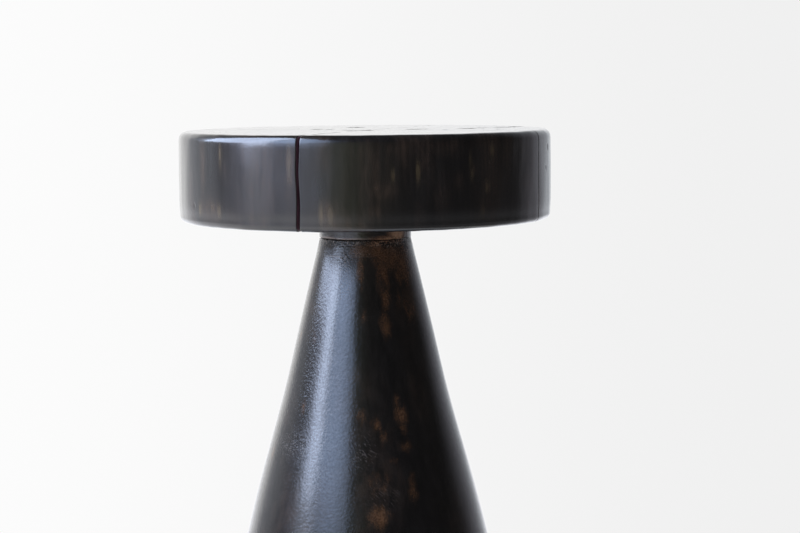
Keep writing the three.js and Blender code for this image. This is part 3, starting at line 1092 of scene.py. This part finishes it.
def pedestal_wood(name):
    """Ebonised wood, polished on the lathe, with brown patches and gathered scratches."""
    wood = Material(name)
    rings, streaks, pores, speckle = ebonised(wood, "pedestal", PEDESTAL_RING, PEDESTAL_LEAN)
    clouds = wood.noise("pedestal_clouds")
    mottle = wood.step(wood.noise("pedestal_mottle"), 0.35, 0.65, 0.05, 0.3)
    wood.colour = wood.blend(wood.step(streaks, 0.35, 0.68), EBONY_DEEP_AND_SHADE, EBONY_MIDDLE)
    wood.cover(wood.step(clouds, 0.42, 0.68), EBONY_WARM, mottle)
    wood.cover(rings, EBONY_DEEP_AND_SHADE, 0.3)
    ragged = wood.noise("ragged")
    thinned = wood.total(wood.marked("wear"), (wood.math("SUBTRACT", ragged, 0.5), 1.5))
    fine = wood.step(wood.noise("fine"), 0.35, 0.65, 0.45, 1.0)
    worn = wood.times(wood.step(thinned, 0.28, 1.25), fine)
    wood.cover(worn, WEAR_BROWN)
    wood.cover(wood.step(thinned, 1.1, 1.9), WEAR_BARE)
    # The neck's pale lines: worn stain, with a painted highlight on the window side.
    wood.cover(wood.marked("line"), PALE_WEAR_AND_GLINT, wood.step(ragged, 0.3, 0.55, 0.3, 1.0))
    tearing, chatter = wood.noise("tearing"), wood.marked("chatter")
    # Torn pocks in the chattered band are painted in the deep tone as painted shade in the torn grain. They
    # also lose some polish.
    shaded_pocks = wood.times(wood.step(tearing, 0.43, 0.51, 1.0, 0.0), chatter)
    wood.cover(shaded_pocks, EBONY_DEEP_AND_SHADE)
    # The pale flecks in the band are painted highlights: painted glints on the torn grain.
    flecks = wood.times(wood.step(tearing, 0.54, 0.64), chatter)
    wood.cover(flecks, PALE_WEAR_AND_GLINT, 0.6)
    strokes = wood.noise("strokes", wood.leaning(STROKE_LEAN))
    scuff = wood.times(wood.marked("scuff"), wood.step(ragged, 0.34, 0.54))
    scratches = wood.times(wood.step(strokes, 0.54, 0.66), scuff)
    wood.cover(scratches, PALE_WEAR_AND_GLINT, 0.3)
    torn = (wood.times(tearing, chatter), TORN_HEIGHT)
    scored = (wood.times(strokes, scuff), SCRATCH_HEIGHT)
    relief = wood.total(0.0, (wood.noise("pebbles"), PEBBLE_HEIGHT), scored, torn)
    gloss = wood.step(wood.noise("matt"), 0.36, 0.66, 1.0, 0.58)
    wood.polish(PEDESTAL_POLISH, wood.total(gloss, (shaded_pocks, -0.45), (chatter, -0.15)), relief)
    grain = wood.total(0.0, (rings, 0.01), (streaks, 0.02), (pores, -0.02), (speckle, 0.016))
    roughness = wood.total(0.12, (clouds, 0.09), (streaks, 0.06), (worn, 0.14), (scratches, 0.2))
    return wood.finish(roughness, wood.total(grain, (scratches, 0.02), torn))


def beech():
    """Bare beech with short dark flecks."""
    wood = Material("beech")
    streaks = wood.noise("beech")
    flecks = wood.step(wood.cells(wood.place, (700, 700, 700)), 0.1, 0.3, 1.0, 0.0)
    wood.colour = wood.blend(streaks, BEECH_DARK, BEECH_LIGHT)
    wood.cover(flecks, BEECH_FLECK, 0.5)
    return wood.finish(wood.step(streaks, 0.3, 0.7, 0.55, 0.72), wood.times(flecks, -0.02))


def felt():
    """Pressed wool felt in dark grey."""
    wool = Material("felt")
    fibres = wool.noise("felt", bent=1.5)
    wool.colour = wool.blend(wool.step(fibres, 0.35, 0.65), FELT_DARK, FELT_LIGHT)
    wool.cover(wool.step(wool.noise("clumps"), 0.5, 0.8), FELT_CLUMP)
    wool.put("Sheen Weight", 0.4)
    wool.put("Sheen Roughness", 0.5)
    return wool.finish(wool.step(fibres, 0.3, 0.7, 0.85, 1.0), wool.times(fibres, 0.08))


# The studio

FLOOR_RADIUS = 0.42
FLOOR_COLUMNS = 128
FLOOR_FADE_START = 0.2
FLOOR_FADE_END = 0.4
FLOOR_DULL = (0.82, 0.76, 0.67)
FLOOR_PALE = (0.86, 0.8, 0.71)

# The backdrop's level seen directly, from its left end to its right end
BACKDROP_LEFT = 0.975
BACKDROP_RIGHT = 0.87
BACKDROP_REACH = 0.25

# The window side is a wall of light at the camera's left, in panes: from and to in y, the sill's
# height, the radiance, and the share of it that is left at the pane's foot
WALL_X = -1.5
PANES_HEAD = 3.3
PANES = {
    "side_pane": (-0.4, 0.55, 0.635, 7.3, 0.9),
    "near_pane": (-0.92, -0.4, 0.46, 9.2, 0.62),
    "far_pane": (-2.3, -1.0, 0.45, 4.7, 0.35),
    "end_pane": (-3.8, -2.3, 0.45, 3.1, 0.35),
}
NEAR_SKY = (0.62, 0.74, 1.0)
FAR_SKY = (0.51, 0.67, 1.0)
FAR_FROM = -1.0

# The slopes, seen from the middle of the floor, where a pane starts and ends to brighten
DIM_SLOPE = 0.24
BRIGHT_SLOPE = 0.5

# The room's red, green and blue at each azimuth in degrees: white behind, bluish to the left, faintly
# green in the front and dim to the front right
ROOM = (
    (-180, 1.0, 1.0, 1.0), (-141, 1.0, 1.0, 1.0), (-133, 0.5, 0.52, 0.57), (-112, 0.5, 0.52, 0.56),
    (-92, 0.25, 0.25, 0.29), (-80, 0.58, 0.61, 0.76), (-67, 0.88, 0.9, 1.0),
    (-56, 0.55, 0.56, 0.68), (-35, 0.6, 0.6, 0.67), (-15, 0.26, 0.28, 0.19),
    (3, 0.08, 0.075, 0.055), (30, 0.045, 0.042, 0.042), (105, 0.045, 0.042, 0.042),
    (130, 0.3, 0.3, 0.34), (158, 0.56, 0.59, 0.63), (172, 0.95, 0.96, 0.98), (180, 1.0, 1.0, 1.0),
)
CEILING = 0.05

# How bright the ground outside the window is, seen below the horizon
GROUND = (1.2, 1.22, 1.3)


def camera():
    data = bpy.data.cameras.new("camera")
    data.lens = CAMERA_LENS
    data.sensor_width = CAMERA_SENSOR
    view = placed("camera", data)
    turn = Matrix.Rotation(-CAMERA_YAW, 4, "Z") @ Matrix.Rotation(QUARTER - CAMERA_PITCH, 4, "X")
    view.matrix_world = Matrix.Translation(CAMERA_PLACE) @ turn @ Matrix.Rotation(CAMERA_ROLL, 4, "Z")
    bpy.context.scene.camera = view


def floor():
    """A round pale floor with the object's shadow. Far from the object it turns clear to the eye, and
    white to reflections, so that it has no edge from any side."""
    paint = Material("floor")
    grey = paint.blend(paint.noise("floor"), FLOOR_DULL, FLOOR_PALE)
    edge = paint.step(paint.length(paint.place), FLOOR_FADE_START, FLOOR_FADE_END)
    ray = paint.add("LightPath").outputs
    seen = paint.total(ray["Is Camera Ray"], (ray["Is Glossy Ray"], 1.0), (ray["Is Transmission Ray"], 1.0))
    fading = paint.times(edge, paint.math("MINIMUM", seen, 1.0))
    across = paint.add("SeparateXYZ", {0: paint.place}).outputs["X"]
    reach = BACKDROP_REACH * (FLOOR_RADIUS - CAMERA_PLACE[1])
    level = paint.step(across, -reach, reach, BACKDROP_LEFT, BACKDROP_RIGHT)
    paint.put("Roughness", 0.9)
    paint.put("Specular IOR Level", 0.0)
    paint.put("Base Color", paint.blend(fading, grey, (0, 0, 0)))
    paint.put("Emission Color", (1, 1, 1))
    paint.put("Emission Strength", paint.times(fading, level))
    paint.put("Alpha", paint.math("SUBTRACT", 1.0, paint.times(edge, ray["Is Camera Ray"])))
    mesh = bpy.data.meshes.new("floor")
    work = bmesh.new()
    bmesh.ops.create_circle(work, cap_ends=True, radius=FLOOR_RADIUS, segments=FLOOR_COLUMNS)
    work.to_mesh(mesh)
    work.free()
    mesh.materials.append(paint.material)
    plate = placed("floor", mesh)


def pane(name, from_y, to_y, sill, radiance, foot):
    """A tall soft window in the wall of light, which the camera doesn't see."""
    lamp = bpy.data.lights.new(name, "AREA")
    lamp.shape = "RECTANGLE"
    lamp.size = to_y - from_y
    lamp.size_y = PANES_HEAD - sill
    lamp.color = FAR_SKY if to_y <= FAR_FROM else NEAR_SKY
    lamp.energy = radiance * math.pi * lamp.size * lamp.size_y
    lamp.use_nodes = True
    light = Shading(lamp.node_tree)
    place = light.add("NewGeometry").outputs["Position"]
    away = light.length(light.vector("MULTIPLY", place, (1, 1, 0)))
    height = light.add("SeparateXYZ", {0: place}).outputs["Z"]
    share = light.step(light.math("DIVIDE", height, away), DIM_SLOPE, BRIGHT_SLOPE, foot, 1.0)
    light.feed(share, lamp.node_tree.nodes["Emission"].inputs["Strength"])
    window = placed(name, lamp)
    window.location = (WALL_X, (from_y + to_y) / 2, (sill + PANES_HEAD) / 2)
    window.rotation_euler = (QUARTER, 0, -QUARTER)
    window.visible_camera = False


def room():
    """The room as a world: lit all round as above for reflections, and nearly white to the eye."""
    world = bpy.data.worlds.new("room")
    world.use_nodes = True
    bpy.context.scene.world = world
    air = Shading(world.node_tree)
    sight = air.add("TexCoord").outputs["Generated"]
    x, y, z = air.add("SeparateXYZ", {0: sight}).outputs
    azimuth = air.math("ARCTAN2", x, air.times(y, -1.0))
    ramp = air.add("ValToRGB", {0: air.total(0.5, (azimuth, 1 / math.tau))})
    stops = ramp.color_ramp.elements
    for stop, (degrees, *light) in zip(stops, (ROOM[0], ROOM[-1])):
        stop.position = degrees / 360 + 0.5
        stop.color = (*light, 1.0)
    for degrees, *light in ROOM[1:-1]:
        stops.new(degrees / 360 + 0.5).color = (*light, 1.0)
    behind = air.step(y, -0.2, 0.5, 0.0, 0.2)
    height = air.step(air.math("SUBTRACT", z, behind), 0.0, 0.6)
    light = air.blend(height, ramp.outputs["Color"], (CEILING, CEILING, CEILING))
    below = air.step(z, -0.25, -0.04, 1.0, 0.0)
    around = air.step(air.total(x, (y, -0.5)), -0.1, 0.45, 1.0, 0.12)
    light = air.blend(air.times(below, around), light, GROUND)
    eye = air.add("LightPath").outputs["Is Camera Ray"]
    fade = air.step(x, -BACKDROP_REACH, BACKDROP_REACH, BACKDROP_LEFT, BACKDROP_RIGHT)
    fade = air.add("CombineColor", {0: fade, 1: fade, 2: fade}).outputs[0]
    air.feed(air.blend(eye, light, fade), world.node_tree.nodes["Background"].inputs["Color"])


def build():
    camera()
    room()
    floor()
    for name, sizes in PANES.items():
        pane(name, *sizes)
    for index in range(len(SIDES)):
        seat_block(index)
    dowel_material = beech()
    for node, seam, centre, crossways in dowel_places():
        dowel(node, centre, crossways, dowel_material)
    collar()
    pedestal()
    glide_material = felt()
    for side in SIDES:
        glide(f"glide_{side}", glide_material)


build()
bpy.context.scene.view_settings.view_transform = "Standard"
